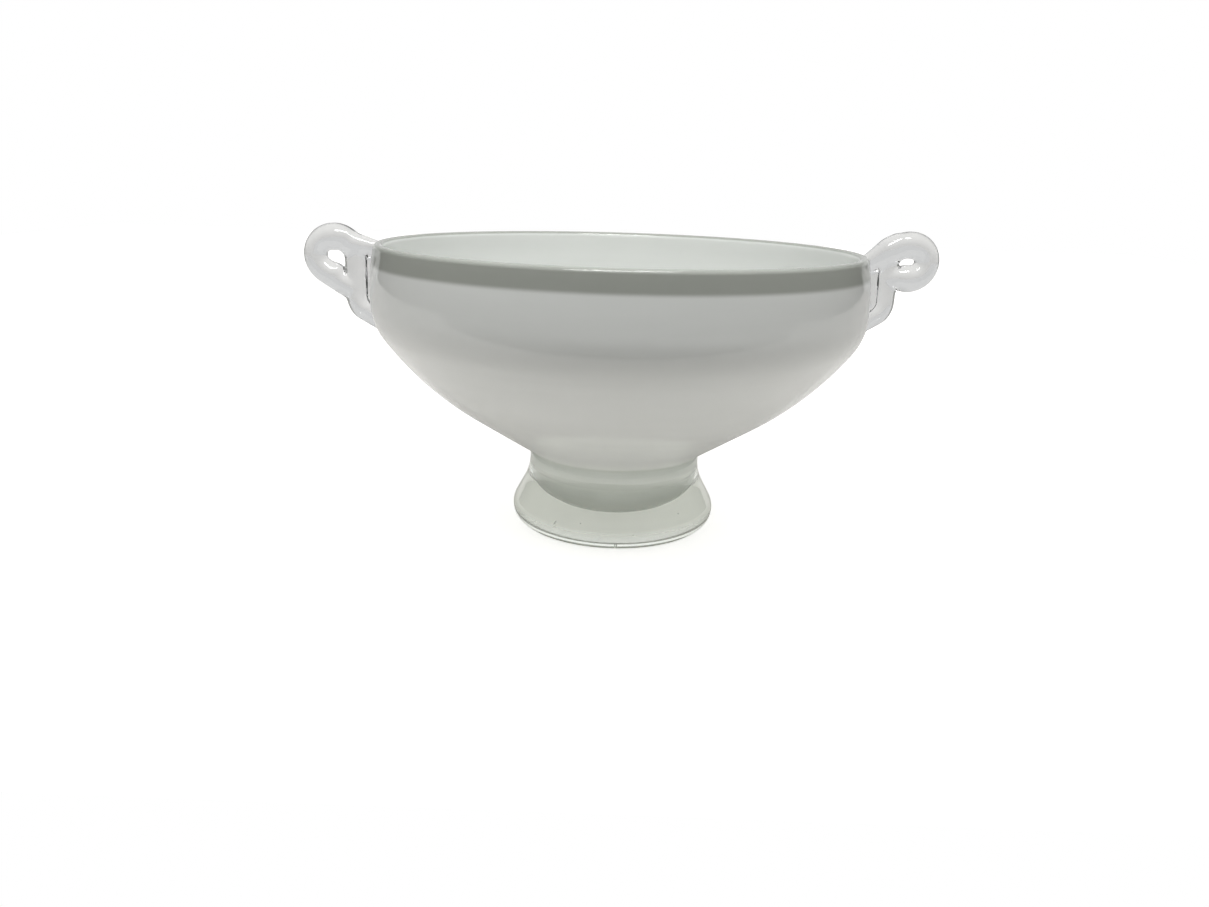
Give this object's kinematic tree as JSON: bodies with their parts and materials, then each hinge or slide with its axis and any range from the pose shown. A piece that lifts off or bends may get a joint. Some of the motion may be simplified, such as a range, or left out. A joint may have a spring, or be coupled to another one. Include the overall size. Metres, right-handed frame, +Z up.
{
  "type": "footed glass bowl",
  "caption": "Wide footed bowl of blown glass, with an opal body, a solid clear foot and a clear scroll handle on each side, for fruit or flowers.",
  "frame": {"origin": "on the bowl's axis, on the surface that the foot stands on", "axes": "+Z up along the bowl's axis, +X from the axis towards the right handle, so that both handles lie in the XZ plane; the picture's camera looks along +Y"},
  "size_m": [0.3295, 0.255, 0.1614],
  "materials": {
    "opal_glass": "fire-polished opal white glass, slightly translucent",
    "clear_glass": "fire-polished clear glass"
  },
  "bodies": {
    "root": {"bowl": "opal_glass", "foot": "clear_glass", "handle_left": "clear_glass", "handle_right": "clear_glass"}
  },
  "joints": []
}
